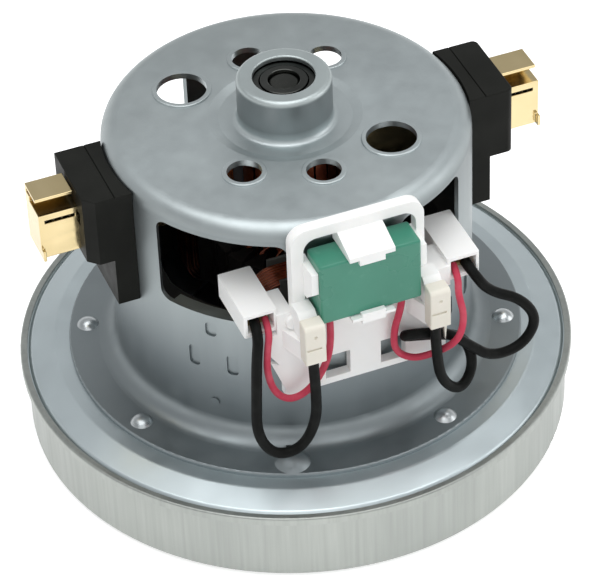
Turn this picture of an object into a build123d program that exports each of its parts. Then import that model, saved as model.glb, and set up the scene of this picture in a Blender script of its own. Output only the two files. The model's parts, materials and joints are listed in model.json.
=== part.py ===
from build123d import *
import math
import os

# Vacuum motor unit: fan case below, field and armature in a drawn bracket above, brushes on X.
# Millimetres, +Z up. Origin on the motor's axis at the case's flat underside; the terminal carrier faces -Y.

# Shared clearances
overrun = 4.0
running_gap = 0.05
seat_gap = 0.05
part_gap = 0.3

# Fan case
case_radius = 71.3
case_thickness = 0.8
case_corner = 2.5
case_straight_height = 18.3
rim_step = 1.4
rim_radius = case_radius + rim_step
rim_flare_height = 19.4
rim_lip_bottom = 20.6
rim_lip_top = 21.5
rim_lip_width = 1.8
rim_lip_radius = rim_radius - rim_lip_width
rim_rounding = 0.6
inlet_radius = 17.0
inlet_lip_height = 3.2
inlet_rounding = 0.8

# End plate
plate_thickness = 1.0
plate_top = 23.2
plate_shoulder_width = 8.1
plate_shoulder_radius = rim_lip_radius - part_gap
plate_flat_radius = plate_shoulder_radius - plate_shoulder_width
plate_shoulder_sag = 0.9
plate_slot_inner = 17.0
plate_slot_outer = 30.0
plate_slot_angle = 40
plate_slot_count = 6

# Bearings, both of the 8 x 22 x 7 size
bearing_bore = 4.0
bearing_outer = 11.0
bearing_width = 7.0
bearing_inner_land = 6.05
bearing_outer_land = 9.5
ball_radius = 1.985
ball_pitch_radius = 7.5
ball_count = 7
shield_thickness = 0.35
top_bearing_z = 96.0
bottom_bearing_z = 24.4
cup_wall = 1.0

# Motor bracket
wall_radius = 46.7
wall_thickness = 1.2
flange_radius = 59.5
flare_radius = 5.0
bracket_top = 92.3
bracket_shoulder = 4.5
boss_radius = 12.05
boss_top = 104.3
boss_opening = 7.9
boss_rounding = 1.3
boss_fillet = 1.4
dish_radius = 19.4
dish_depth = 0.6
window_bottom = 62.5
window_top = 87.4
window_corner = 3.0
window_spans = [(-154.8, -111.5), (-75.6, -46.3), (25.2, 68.5), (104.4, 133.7)]
window_lip_depth = 2.4
window_lip_thickness = 1.0
window_lip_inset_angle = 4
big_hole_radius = 6.4
big_hole_circle = 28.6
big_hole_angles = [135, -45]
small_hole_radius = 4.4
small_hole_circle = 25.5
small_hole_angles = [-135, 45, -90, 90]
hole_rim_width = 1.2
hole_rim_height = 0.4
hole_rim_round_share = 0.9
dent_depth = 0.6
dent_group = [(-1.8, 58.1, 4.2), (-8.2, 47.9, 6.2), (4.8, 47.8, 6.2)]
dent_width = 3.0
dent_corner = 1.1
knob_angle = -1.7
knob_z = 34.5
knob_radius = 1.2
knob_height = 0.5
dent_group_angles = [-135, -45, 45, 135]
rivet_circle = 54.7
rivet_angles = [-157.5, -67.5, -22.5, 22.5, 67.5, 112.5, 157.5]
rivet_head_radius = 2.9
rivet_head_height = 1.5
rivet_shank_radius = 1.9
rivet_tail_radius = 2.6
rivet_tail_height = 0.9
bump_angle = -112.5
bump_radius = 4.6
bump_height = 2.2
bump_slit_length = 3.4
bump_slit_width = 0.8

# Diffuser
diffuser_bore = 16.0
diffuser_gap = 4.0
diffuser_radius = case_radius - case_thickness - diffuser_gap
diffuser_bottom = 15.8
diffuser_top = 17.2
guide_edge = 0.5
guide_depth = 9.0
guide_outer = diffuser_radius - guide_edge
guide_inner = guide_outer - guide_depth
guide_bottom = 2.6
guide_count = 15
guide_thickness = 1.2
guide_sweep = 17
return_inner = 33.0
return_edge = 4.0
return_outer = guide_outer - return_edge
return_count = 12
return_sweep = -34
diffuser_screw_circle = 24.0
diffuser_screw_count = 3
diffuser_screw_radius = 1.5
diffuser_screw_head = 2.8
diffuser_screw_head_height = 1.8
diffuser_post_radius = 3.6

# Impeller
impeller_gap = 3.0
impeller_radius = guide_inner - impeller_gap
impeller_sheet = 0.8
impeller_top = 11.5
shroud_eye = 18.6
shroud_bottom = 2.4
shroud_edge_z = 5.6
shroud_flat_radius = 24.0
blade_count = 9
blade_thickness = 0.9
blade_inset = 2.4
blade_inner = shroud_eye + blade_inset
blade_edge = 0.4
blade_outer = impeller_radius - blade_edge
blade_sweep = -62
washer_radius = 10.5
washer_thickness = 1.2
nut_across_flats = 13.0
nut_height = 5.0
nut_chamfer = 1.2
spacer_radius = 6.0

# Shaft
shaft_radius = 4.0
shaft_body_radius = 5.0
shaft_bottom = 3.4
shaft_top = 102.4
shaft_chamfer = 0.6

# Armature
core_cup_gap = 0.9
core_bottom = bottom_bearing_z + bearing_width + cup_wall + core_cup_gap
core_top = 58.0
core_radius = 20.5
slot_count = 22
slot_width = 2.2
slot_inner = 11.0
slot_outer = 18.9
slot_mouth = 1.0
end_turn_inner = 7.5
end_turn_outer = 18.6
end_turn_bottom_inner = 13.4
end_turn_height = 5.6
end_turn_rounding = 2.2
turn_bundle_radius = 1.6

# Commutator
commutator_radius = 14.0
commutator_bottom = 66.5
commutator_top = 88.0
commutator_hub_radius = 9.6
hub_step_below = 0.6
hub_step_above = 1.2
bar_gap = 0.6
riser_radius = 15.8
riser_height = 2.2

# Field core and coils
field_bore = 21.2
pole_half_width = 14.0
shoe_outer = 25.3
shoe_half_angle = 54
pole_angle = 90
chamber_radius = 38.0
chamber_half_y = 31.4
chamber_half_x = 36.5
bobbin_wall = 0.8
bobbin_inner_y = 21.6
bobbin_outer_y = 31.2
bobbin_flange = 0.8
bobbin_flange_reach = 8.2
coil_wire = 1.2
coil_pitch = 1.65
coil_layers = 4
coil_turns = 5
coil_corner = 2.2
coil_jog = 3.5

# Brushes
brush_z = 78.5
tube_outer_x = 67.6
tube_inner_x = 16.4
tube_half_width = 5.0
tube_half_height = 6.6
tube_wall = 0.8
rail_width = 8.0
rail_height = 3.6
tube_slot_height = 0.9
tube_lug_size = 3.0
tube_lug_thickness = 0.8
brush_half_width = 4.05
brush_half_height = 5.6
brush_length = 32.0
brush_side_gap = 0.1
spring_wire = 0.7
spring_radius = 2.9
spring_curls = 9
spring_pad = 0.8

# Brush holders
holder_inner_x = 44.2
holder_step_x = 51.0
holder_outer_x = 57.45
holder_half_width = 11.7
holder_top = 90.2
holder_outer_bottom = 70.6
holder_inner_bottom = 56.5
holder_chamfer = 2.6
holder_corner = 1.6
holder_notch = 1.4
holder_notch_height = 3.7
holder_line_depth = 0.35
holder_line_x = 49.6
holder_cut_gap = 0.1
neck_wall = 1.2

# Terminal carrier
carrier_front = -49.6
carrier_back = -48.0
carrier_rear = -46.95
arch_left = -18.7
arch_right = 16.0
arch_top = 96.2
arch_corner = 4.2
arch_bottom = 60.0
arch_front = -50.0
arch_border = 3.0
arch_inner_corner = 3.4
arch_opening_bottom = 71.2
bar_left = -21.5
bar_right = 21.6
bar_bottom = 45.8
bar_top = 61.5
bar_window_half = 3.3
bar_window_bottom = 47.7
bar_window_top = 54.8
bar_window_x = 7.4
panel_left = -24.9
panel_thickness = 1.4
hook_top = 57.6
hook_notch = 2.2
hook_reach = 1.2
hook_toe = 0.9
hook_toe_x = -20.9
shelf_bottom = 66.4
shelf_top = 72.4
deck_thickness = 1.2
deck_rear = -40.0
block_centre_x = 26.8
block_half_width = 4.3
block_front = -49.0
block_rear = -31.0
block_bottom = 67.4
block_top = 74.0
block_wall = 0.9
block_cheek_height = 0.3
post_half_width = 2.3
post_bottom = 61.8
post_top = 75.2
post_wedge = 2.0
gusset_width = 2.5
gusset_top = 67.5
clip_thickness = 1.3
top_clip_half_width = 5.9
barb_half_width = 3.3
barb_drop = 1.6
bottom_clip_half_width = 5.6
bottom_clip_thickness = 0.8
bottom_lip_half_width = 3.1
bottom_lip_drop = 1.8
bottom_lip_rise = 1.0
arm_thickness = 1.7
arm_front = -55.7
arm_top = 87.0
arm_front_bottom = 80.8
arm_slope_y = -51.8
arm_slope_z = 77.3
arm_rear_bottom = 76.5
arm_joint = 0.3
carrier_boss_radius = 1.9
carrier_boss_height = 1.2
carrier_boss_x = -16.6
carrier_boss_z = 69.6

# Suppression capacitor
capacitor_x = -0.8
capacitor_half_width = 13.2
capacitor_front = -56.6
capacitor_back = -48.15
capacitor_bottom = 71.6
capacitor_top = 89.4
capacitor_rounding = 0.7

# Tab housings
tab_x = 16.9
tab_half_width = 2.7
tab_front = -60.0
tab_back = -56.0
tab_bottom = 63.2
tab_top = 74.6
tab_chamfer = 1.2
tab_latch_z = 67.4
tab_latch_depth = 0.4
tab_latch_height = 0.7
tab_dimple = 0.5
tab_dimple_z = 71.4
tongue_width = 1.1
tongue_length = 6.4

# Terminals in the blocks
terminal_half_width = 2.9
terminal_thickness = 0.8
terminal_length = 14.0
terminal_front = -46.0

# Wires: hand-chosen corner points, from the block to the far end
thick_wire = 2.7
thin_wire = 1.8
bend_share = 0.45
points_black_left = [(-27.7, -46.6, 70.3), (-28.3, -51.2, 69.3), (-29.6, -52.4, 62.6), (-30.7, -54.0, 52.4),
                     (-31.7, -55.4, 41.4), (-27.6, -56.2, 33.7), (-20.6, -57.0, 34.2), (-16.6, -57.5, 42.4),
                     (-16.5, -57.6, 52.9), (-17.0, -57.6, 63.2)]
points_red_left = [(-24.9, -46.6, 70.0), (-25.3, -50.8, 69.0), (-26.6, -52.1, 64.6), (-27.1, -52.3, 57.8),
                   (-25.4, -52.4, 50.6), (-21.2, -52.4, 46.6), (-15.9, -52.4, 48.4), (-11.4, -52.4, 55.2),
                   (-9.9, -52.4, 63.6), (-10.4, -52.4, 71.6)]
points_red_right = [(25.1, -46.6, 70.0), (24.6, -50.9, 69.0), (23.7, -52.6, 65.6), (24.0, -56.0, 60.8),
                    (21.2, -58.7, 56.0), (16.8, -54.6, 50.4), (11.6, -51.9, 48.0), (6.8, -51.6, 52.2),
                    (6.8, -51.8, 59.4), (8.6, -52.2, 65.8), (9.2, -52.4, 71.6)]
points_black_right = [(28.1, -46.6, 70.2), (28.6, -51.0, 69.2), (32.4, -51.9, 62.8), (40.3, -53.6, 59.2),
                      (44.4, -55.0, 52.2), (40.2, -55.4, 45.2), (31.6, -55.5, 44.4), (25.6, -55.1, 50.2),
                      (19.6, -55.0, 56.6), (9.3, -55.0, 59.3), (9.3, -50.95, 55.4), (19.2, -50.95, 52.9),
                      (25.9, -51.8, 50.3), (27.3, -54.4, 42.6), (22.6, -56.8, 37.4), (17.0, -57.7, 43.2),
                      (15.5, -57.8, 52.6), (15.2, -57.8, 63.2)]


def export(piece, name):
    piece.label = name
    export_step(piece, "parts/" + name + ".step")


# Shapes used by many pieces

def outline(corners):
    face = make_face(Polyline(*[(r, z) for r, z, _ in corners], close=True))
    for r, z, rounding in corners:
        if rounding:
            corner = face.vertices().sort_by_distance((r, z, 0))[0]
            face = fillet(corner, rounding)
    return face


def turned(corners):
    return revolve(Plane.XZ * outline(corners), Axis.Z)


def box(x0, x1, y0, y1, z0, z1):
    size = (abs(x1 - x0), abs(y1 - y0), abs(z1 - z0))
    middle = ((x0 + x1) / 2, (y0 + y1) / 2, (z0 + z1) / 2)
    return Pos(*middle) * Box(*size)


def tube(outer, inner, z0, z1):
    ring = Circle(outer) - Circle(inner)
    return Pos(0, 0, z0) * extrude(ring, z1 - z0)


def disc(radius, z0, z1):
    return Pos(0, 0, z0) * extrude(Circle(radius), z1 - z0)


def around(piece, angles):
    return [Rot(0, 0, angle) * piece for angle in angles]


def even(count):
    return [360 * i / count for i in range(count)]


def at_polar(radius, angle):
    return Rot(0, 0, angle) * Pos(radius, 0, 0)


def sector(inner, outer, start, stop, z0, z1):
    steps = 12
    angles = [math.radians(start + (stop - start) * i / steps) for i in range(steps + 1)]
    far = [(outer * math.cos(a), outer * math.sin(a)) for a in angles]
    near = [(inner * math.cos(a), inner * math.sin(a)) for a in reversed(angles)]
    return Pos(0, 0, z0) * extrude(make_face(Polyline(*far, *near, close=True)), z1 - z0)


def blade_face(inner, outer, sweep_angle, thickness):
    steps = 6
    middle = []
    for i in range(steps + 1):
        share = i / steps
        radius = inner + (outer - inner) * share
        angle = math.radians(sweep_angle * share)
        middle.append(Vector(radius * math.cos(angle), radius * math.sin(angle), 0))
    spine = Spline(*middle)
    left = []
    right = []
    for i in range(steps + 1):
        side = (spine % (i / steps)).rotate(Axis.Z, 90) * (thickness / 2)
        left.append(spine @ (i / steps) + side)
        right.append(spine @ (i / steps) - side)
    edges = [Spline(*left), Line(left[-1], right[-1]), Spline(*right), Line(right[0], left[0])]
    return make_face(edges)


def joined(pieces):
    whole = pieces[0]
    for piece in pieces[1:]:
        whole = whole + piece
    return whole


# Fan case

def make_fan_case():
    inner = case_radius - case_thickness
    rim_inner = rim_radius - case_thickness
    return turned([
        (inlet_radius, inlet_lip_height, 0),
        (inlet_radius, 0, inlet_rounding + case_thickness),
        (case_radius, 0, case_corner),
        (case_radius, case_straight_height, 0),
        (rim_radius, rim_flare_height, 0),
        (rim_radius, rim_lip_top, rim_rounding),
        (rim_lip_radius, rim_lip_top, 0),
        (rim_lip_radius, rim_lip_bottom, 0),
        (rim_inner, rim_lip_bottom, 0),
        (rim_inner, rim_flare_height, 0),
        (inner, case_straight_height, 0),
        (inner, case_thickness, case_corner - case_thickness),
        (inlet_radius + case_thickness, case_thickness, inlet_rounding),
        (inlet_radius + case_thickness, inlet_lip_height, 0),
    ])


# End plate with the lower bearing's cup

def make_end_plate():
    under = plate_top - plate_thickness
    edge = rim_radius - case_thickness - seat_gap
    cup_outer = bearing_outer + cup_wall
    cup_top = bottom_bearing_z + bearing_width
    shoulder_low = rim_lip_bottom - plate_thickness
    shape = turned([
        (bearing_outer, under, 0),
        (plate_flat_radius, under, 0),
        (plate_shoulder_radius - plate_thickness, shoulder_low, 0),
        (edge, shoulder_low, 0),
        (edge, rim_lip_bottom, 0),
        (plate_shoulder_radius, rim_lip_bottom, 0),
        (plate_shoulder_radius - plate_shoulder_sag, rim_lip_top, plate_shoulder_sag),
        (plate_flat_radius + plate_shoulder_sag, plate_top, case_corner),
        (cup_outer, plate_top, 0),
        (cup_outer, cup_top + cup_wall, cup_wall / 2),
        (bearing_outer_land, cup_top + cup_wall, 0),
        (bearing_outer_land, cup_top, 0),
        (bearing_outer, cup_top, 0),
    ])
    half = plate_slot_angle / 2
    slot = sector(plate_slot_inner, plate_slot_outer, -half, half, under - overrun, plate_top + overrun)
    shape = shape - joined(around(slot, even(plate_slot_count)))
    hole = Pos(rivet_circle, 0, 0) * disc(rivet_shank_radius, under - overrun, plate_top + overrun)
    shape = shape - joined(around(hole, rivet_angles))
    screw = Pos(diffuser_screw_circle, 0, 0) * disc(diffuser_screw_radius, under - overrun, plate_top + overrun)
    return shape - joined(around(screw, screw_angles()))


def screw_angles():
    return [angle + 360 / plate_slot_count / 2 for angle in even(diffuser_screw_count)]


# Motor bracket

def bracket_shell():
    inner = wall_radius - wall_thickness
    under = bracket_top - wall_thickness
    flange_top = plate_top + wall_thickness
    ceiling = top_bearing_z + bearing_width
    inner_flare = flare_radius + wall_thickness
    dish_z = bracket_top - dish_depth
    return turned([
        (inner, plate_top, inner_flare),
        (flange_radius, plate_top, 0),
        (flange_radius, flange_top, wall_thickness / 3),
        (wall_radius, flange_top, flare_radius),
        (wall_radius, bracket_top, bracket_shoulder),
        (dish_radius, bracket_top, wall_thickness),
        (dish_radius - flare_radius / 2, dish_z, wall_thickness),
        (boss_radius, dish_z, boss_fillet),
        (boss_radius, boss_top, boss_rounding),
        (boss_opening, boss_top, wall_thickness / 3),
        (boss_opening, ceiling, 0),
        (bearing_outer, ceiling, 0),
        (bearing_outer, dish_z - wall_thickness, 0),
        (dish_radius, dish_z - wall_thickness, 0),
        (dish_radius + flare_radius / 2, under, 0),
        (inner, under, bracket_shoulder - wall_thickness),
    ])


def window_cut(start, stop):
    middle = (start + stop) / 2
    width = 2 * wall_radius * math.sin(math.radians(stop - start) / 2)
    height = window_top - window_bottom
    shape = fillet(Rectangle(width, height).vertices(), window_corner)
    depth = 2 * wall_thickness + bracket_shoulder + overrun
    chord = wall_radius * math.cos(math.radians(stop - start) / 2)
    plane = Plane(origin=(wall_radius + overrun, 0, (window_bottom + window_top) / 2),
                  x_dir=(0, 1, 0), z_dir=(1, 0, 0))
    cut = extrude(plane * shape, -(wall_radius + overrun - chord + depth))
    return Rot(0, 0, middle) * cut


def window_lip(start, stop):
    outer = wall_radius - wall_thickness / 2
    inner = wall_radius - wall_thickness - window_lip_depth
    return sector(inner, outer, start + window_lip_inset_angle, stop - window_lip_inset_angle,
                  window_bottom - window_lip_thickness, window_bottom)


def hole_rim(radius):
    shape = Circle(radius + hole_rim_width)
    ring = extrude(shape, hole_rim_height + wall_thickness / 2)
    ring = fillet(ring.edges().group_by(Axis.Z)[-1], hole_rim_height * hole_rim_round_share)
    return Pos(0, 0, bracket_top - wall_thickness / 2) * ring


def wall_plane(radius, z):
    return Plane(origin=(radius, 0, z), x_dir=(0, 1, 0), z_dir=(1, 0, 0))


def dent(angle, z, height):
    shape = fillet(Rectangle(dent_width, height).vertices(), dent_corner)
    return Rot(0, 0, angle) * extrude(wall_plane(wall_radius - dent_depth, z) * shape, overrun)


def knob(angle):
    plane = wall_plane(wall_radius - wall_thickness / 2, knob_z)
    return Rot(0, 0, angle) * extrude(plane * Circle(knob_radius), wall_thickness / 2 + knob_height)


def holder_neck(gap):
    width = tube_half_width + neck_wall + gap
    height = tube_half_height + neck_wall + gap
    return box(holder_inner_x - gap, wall_radius + overrun, -width, width, brush_z - height, brush_z + height)


def make_motor_bracket():
    shape = bracket_shell()
    rims = [at_polar(big_hole_circle, a) * hole_rim(big_hole_radius) for a in big_hole_angles]
    rims += [at_polar(small_hole_circle, a) * hole_rim(small_hole_radius) for a in small_hole_angles]
    lips = [window_lip(a, b) for a, b in window_spans]
    bump = at_polar(rivet_circle, bump_angle) * pressed_bump()
    knobs = [knob(group + knob_angle) for group in dent_group_angles]
    shape = shape + rims + lips + knobs + bump
    cuts = [window_cut(a, b) for a, b in window_spans]
    low = bracket_top - wall_thickness - overrun
    high = bracket_top + overrun
    cuts += [at_polar(big_hole_circle, a) * disc(big_hole_radius, low, high) for a in big_hole_angles]
    cuts += [at_polar(small_hole_circle, a) * disc(small_hole_radius, low, high) for a in small_hole_angles]
    for group in dent_group_angles:
        cuts += [dent(group + turn, z, height) for turn, z, height in dent_group]
    neck = holder_neck(holder_cut_gap)
    cuts += [neck, mirror(neck, Plane.YZ)]
    hole = Pos(rivet_circle, 0, 0) * disc(rivet_shank_radius, plate_top - overrun, plate_top + overrun)
    cuts += around(hole, rivet_angles)
    slit_x = rivet_circle - bump_radius - bump_slit_width / 2
    slit = box(slit_x - bump_slit_width / 2, slit_x + bump_slit_width / 2, -bump_slit_length / 2,
               bump_slit_length / 2, plate_top - overrun, plate_top + overrun)
    cuts.append(Rot(0, 0, bump_angle) * slit)
    return shape - cuts


def pressed_bump():
    flange_top = plate_top + wall_thickness
    return Pos(0, 0, flange_top - seat_gap) * dome(bump_radius, bump_height)


def dome(radius, height):
    ball = (radius ** 2 + height ** 2) / (2 * height)
    cap = Pos(0, 0, height - ball) * Sphere(ball)
    return cap & Pos(0, 0, height) * Box(4 * radius, 4 * radius, 2 * height)


# Rivets through flange and end plate

def make_flange_rivets():
    flange_top = plate_top + wall_thickness
    under = plate_top - plate_thickness
    head = Pos(0, 0, flange_top) * dome(rivet_head_radius, rivet_head_height)
    shank = disc(rivet_shank_radius, under - rivet_tail_height / 2, flange_top + rivet_head_height / 4)
    tail = disc(rivet_tail_radius, under - rivet_tail_height, under)
    rivet = Pos(rivet_circle, 0, 0) * (head + shank + tail)
    return Compound(children=around(rivet, rivet_angles))


# Diffuser under the end plate

def make_diffuser():
    top = plate_top - plate_thickness
    plate = tube(diffuser_radius, diffuser_bore, diffuser_bottom, diffuser_top)
    guide = blade_face(guide_inner, guide_outer, guide_sweep, guide_thickness)
    guide = Pos(0, 0, guide_bottom) * extrude(guide, diffuser_bottom - guide_bottom + seat_gap)
    back = blade_face(return_inner, return_outer, return_sweep, guide_thickness)
    back = Pos(0, 0, diffuser_top - seat_gap) * extrude(back, top - rivet_tail_height - diffuser_top)
    post = Pos(diffuser_screw_circle, 0, 0) * disc(diffuser_post_radius, diffuser_top - seat_gap, top)
    shape = plate + around(guide, even(guide_count)) + around(back, even(return_count))
    shape = shape + around(post, screw_angles())
    hole = disc(diffuser_screw_radius, diffuser_bottom - overrun, top + overrun)
    hole = hole + disc(diffuser_screw_head, diffuser_bottom - overrun, diffuser_bottom)
    return shape - around(Pos(diffuser_screw_circle, 0, 0) * hole, screw_angles())


def make_diffuser_screws():
    head = disc(diffuser_screw_head, diffuser_bottom - diffuser_screw_head_height, diffuser_bottom)
    head = fillet(head.edges().group_by(Axis.Z)[0], diffuser_screw_head_height / 2)
    shank = disc(diffuser_screw_radius, diffuser_bottom - diffuser_screw_head_height / 2, plate_top)
    slot = box(-diffuser_screw_head - overrun, diffuser_screw_head + overrun, -part_gap, part_gap,
               diffuser_bottom - diffuser_screw_head_height - overrun,
               diffuser_bottom - diffuser_screw_head_height / 2)
    screw = Pos(diffuser_screw_circle, 0, 0) * (head + shank - slot)
    return Compound(children=around(screw, screw_angles()))


# Impeller

def back_under():
    return impeller_top - impeller_sheet


def shroud_corners():
    return [
        (shroud_eye, shroud_bottom, 0),
        (shroud_flat_radius, shroud_bottom, 0),
        (impeller_radius, shroud_edge_z, 0),
        (impeller_radius, shroud_edge_z + impeller_sheet, 0),
        (shroud_flat_radius, shroud_bottom + impeller_sheet, 0),
        (shroud_eye, shroud_bottom + impeller_sheet, 0),
    ]


def make_impeller_blades():
    reach = impeller_radius - part_gap
    room = turned([
        (shroud_eye, shroud_bottom + impeller_sheet, 0),
        (shroud_flat_radius, shroud_bottom + impeller_sheet, 0),
        (impeller_radius, shroud_edge_z + impeller_sheet, 0),
        (impeller_radius, back_under(), 0),
        (shroud_eye, back_under(), 0),
    ])
    face = blade_face(blade_inner, min(blade_outer, reach), blade_sweep, blade_thickness)
    blade = extrude(face, impeller_top) & room
    return Compound(children=around(blade, even(blade_count)))


def make_impeller_backplate():
    return tube(impeller_radius, shaft_radius, back_under(), impeller_top)


def make_impeller_washers():
    lower = tube(washer_radius, shaft_radius, back_under() - washer_thickness, back_under())
    upper = tube(washer_radius, shaft_radius, impeller_top, impeller_top + washer_thickness)
    return Compound(children=[lower, upper])


def make_impeller_nut():
    top = back_under() - washer_thickness
    hexagon = RegularPolygon(nut_across_flats / 2, 6, major_radius=False)
    nut = Pos(0, 0, top - nut_height) * extrude(hexagon, nut_height)
    corner = nut_across_flats / 2 / math.cos(math.radians(30))
    cone = turned([
        (0, top - nut_height - part_gap, 0),
        (nut_across_flats / 2 - part_gap, top - nut_height - part_gap, 0),
        (corner + part_gap, top - nut_height + nut_chamfer, 0),
        (corner + part_gap, top + part_gap, 0),
        (0, top + part_gap, 0),
    ])
    return (nut & cone) - disc(shaft_radius, top - nut_height - overrun, top + overrun)


def make_impeller_spacer():
    return tube(spacer_radius, shaft_radius, impeller_top + washer_thickness, bottom_bearing_z)


# Shaft and bearings

def make_shaft():
    low = bottom_bearing_z + bearing_width
    return turned([
        (0, shaft_bottom, 0),
        (shaft_radius - shaft_chamfer, shaft_bottom, 0),
        (shaft_radius, shaft_bottom + shaft_chamfer, 0),
        (shaft_radius, low, 0),
        (shaft_body_radius, low, 0),
        (shaft_body_radius, top_bearing_z, 0),
        (shaft_radius, top_bearing_z, 0),
        (shaft_radius, shaft_top - shaft_chamfer, 0),
        (shaft_radius - shaft_chamfer, shaft_top, 0),
        (0, shaft_top, 0),
    ])


def groove(base):
    circle = Pos(ball_pitch_radius, 0) * Circle(ball_radius + running_gap)
    return Pos(0, 0, base + bearing_width / 2) * revolve(Plane.XZ * circle, Axis.Z)


def make_outer_ring(base):
    ring = tube(bearing_outer, bearing_outer_land, base, base + bearing_width)
    outer_circles = ring.edges().filter_by(GeomType.CIRCLE).filter_by(lambda e: e.radius > bearing_outer_land + part_gap)
    ring = chamfer(outer_circles, part_gap)
    return ring - groove(base)


def make_inner_ring(base):
    ring = tube(bearing_inner_land, bearing_bore, base, base + bearing_width)
    return ring - groove(base)


def make_balls(base):
    ball = Pos(ball_pitch_radius, 0, base + bearing_width / 2) * Sphere(ball_radius)
    return Compound(children=around(ball, even(ball_count)))


def make_shield(z0, z1):
    return tube(bearing_outer_land, bearing_inner_land + part_gap, z0, z1)


# Armature

def make_armature_core():
    outer_slot = slot_outer - slot_width / 2
    pocket = Pos((slot_inner + outer_slot) / 2, 0) * Rectangle(outer_slot - slot_inner, slot_width)
    pocket = pocket + Pos(slot_inner, 0) * Circle(slot_width / 2) + Pos(outer_slot, 0) * Circle(slot_width / 2)
    mouth = Pos(core_radius, 0) * Rectangle(2 * (core_radius - outer_slot), slot_mouth)
    one = pocket + mouth
    face = Circle(core_radius) - Circle(shaft_body_radius)
    for angle in even(slot_count):
        face = face - Rot(0, 0, angle) * one
    return Pos(0, 0, core_bottom) * extrude(face, core_top - core_bottom)


def end_turns(inner, height):
    face = Circle(end_turn_outer - turn_bundle_radius)
    for angle in even(slot_count):
        face = face + at_polar(end_turn_outer - turn_bundle_radius, angle) * Circle(turn_bundle_radius)
    far = end_turn_outer + part_gap
    room = turned([
        (inner, -part_gap, 0),
        (far, -part_gap, 0),
        (far, height - end_turn_rounding, 0),
        (far - end_turn_rounding - part_gap, height + part_gap, 0),
        (inner, height + part_gap, 0),
    ])
    return extrude(face, height) & room


def make_armature_windings():
    top = Pos(0, 0, core_top) * end_turns(end_turn_inner, end_turn_height)
    bottom = Pos(0, 0, core_bottom) * mirror(end_turns(end_turn_bottom_inner, end_turn_height), Plane.XY)
    width = slot_width / 2 - brush_side_gap
    bar = box(slot_inner + slot_width, slot_outer - slot_width / 2, -width, width, core_bottom - seat_gap,
              core_top + seat_gap)
    return top + bottom + around(bar, even(slot_count))


def make_commutator_hub():
    return tube(commutator_hub_radius, shaft_body_radius, commutator_bottom - hub_step_below,
                commutator_top + hub_step_above)


def make_commutator_bars():
    ring = tube(commutator_radius, commutator_hub_radius, commutator_bottom, commutator_top)
    riser = tube(riser_radius, commutator_hub_radius, commutator_bottom, commutator_bottom + riser_height)
    whole = ring + riser
    gap = box(0, riser_radius + overrun, -bar_gap / 2, bar_gap / 2, commutator_bottom - overrun,
              commutator_top + overrun)
    cut = whole - around(gap, even(slot_count))
    return Compound(children=[solid for solid in cut.solids()])


# Field core, coils and their insulation

def make_field_core():
    face = Circle(wall_radius - wall_thickness - seat_gap) - Circle(field_bore)
    room = Rectangle(2 * chamber_half_x, 2 * chamber_half_y) & Circle(chamber_radius)
    room = room - Rectangle(2 * pole_half_width, 4 * chamber_half_y)
    face = face - room
    half = shoe_half_angle
    shoe = sector(field_bore, shoe_outer, pole_angle - half, pole_angle + half, core_bottom, core_top)
    body = Pos(0, 0, core_bottom) * extrude(face, core_top - core_bottom)
    body = body + shoe + mirror(shoe, Plane.XZ)
    return body - disc(field_bore, core_bottom - overrun, core_top + overrun)


def coil_loop_levels():
    levels = []
    for layer in range(coil_layers):
        turns = range(coil_turns) if layer % 2 == 0 else reversed(range(coil_turns))
        levels += [(layer, turn) for turn in turns]
    return levels


def coil_path():
    middle_z = (core_bottom + core_top) / 2
    half_x = pole_half_width + bobbin_wall + coil_wire
    half_z = (core_top - core_bottom) / 2 + bobbin_wall + coil_wire
    first_y = -bobbin_inner_y - bobbin_flange - brush_side_gap - coil_wire / 2
    edges = []
    levels = coil_loop_levels()
    for index, (layer, turn) in enumerate(levels):
        a = half_x + layer * coil_pitch
        b = half_z + layer * coil_pitch
        r = coil_corner + layer * coil_pitch
        y = first_y - turn * coil_pitch
        c = math.sqrt(2) / 2 * r
        top, low = middle_z + b, middle_z - b
        edges.append(Edge.make_line((coil_jog, y, top), (a - r, y, top)))
        edges.append(Edge.make_three_point_arc((a - r, y, top), (a - r + c, y, top - r + c), (a, y, top - r)))
        edges.append(Edge.make_line((a, y, top - r), (a, y, low + r)))
        edges.append(Edge.make_three_point_arc((a, y, low + r), (a - r + c, y, low + r - c), (a - r, y, low)))
        edges.append(Edge.make_line((a - r, y, low), (r - a, y, low)))
        edges.append(Edge.make_three_point_arc((r - a, y, low), (r - a - c, y, low + r - c), (-a, y, low + r)))
        edges.append(Edge.make_line((-a, y, low + r), (-a, y, top - r)))
        edges.append(Edge.make_three_point_arc((-a, y, top - r), (r - a - c, y, top - r + c), (r - a, y, top)))
        edges.append(Edge.make_line((r - a, y, top), (-coil_jog, y, top)))
        if index + 1 < len(levels):
            next_layer, next_turn = levels[index + 1]
            next_y = first_y - next_turn * coil_pitch
            next_top = middle_z + half_z + next_layer * coil_pitch
            start = Vector(-coil_jog, y, top)
            stop = Vector(coil_jog, next_y, next_top)
            middle = (start + stop) / 2
            one = Edge.make_tangent_arc(start, Vector(1, 0, 0), middle)
            two = Edge.make_tangent_arc(middle, one % 1, stop)
            edges += [one, two]
    return Wire(edges)


def make_field_coil():
    path = coil_path()
    ring = Plane(origin=path @ 0, z_dir=path % 0) * Circle(coil_wire / 2)
    print("coil loops", coil_layers * coil_turns, "least gap", round(coil_pitch - coil_wire, 2))
    return sweep(ring, path=path)


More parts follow.
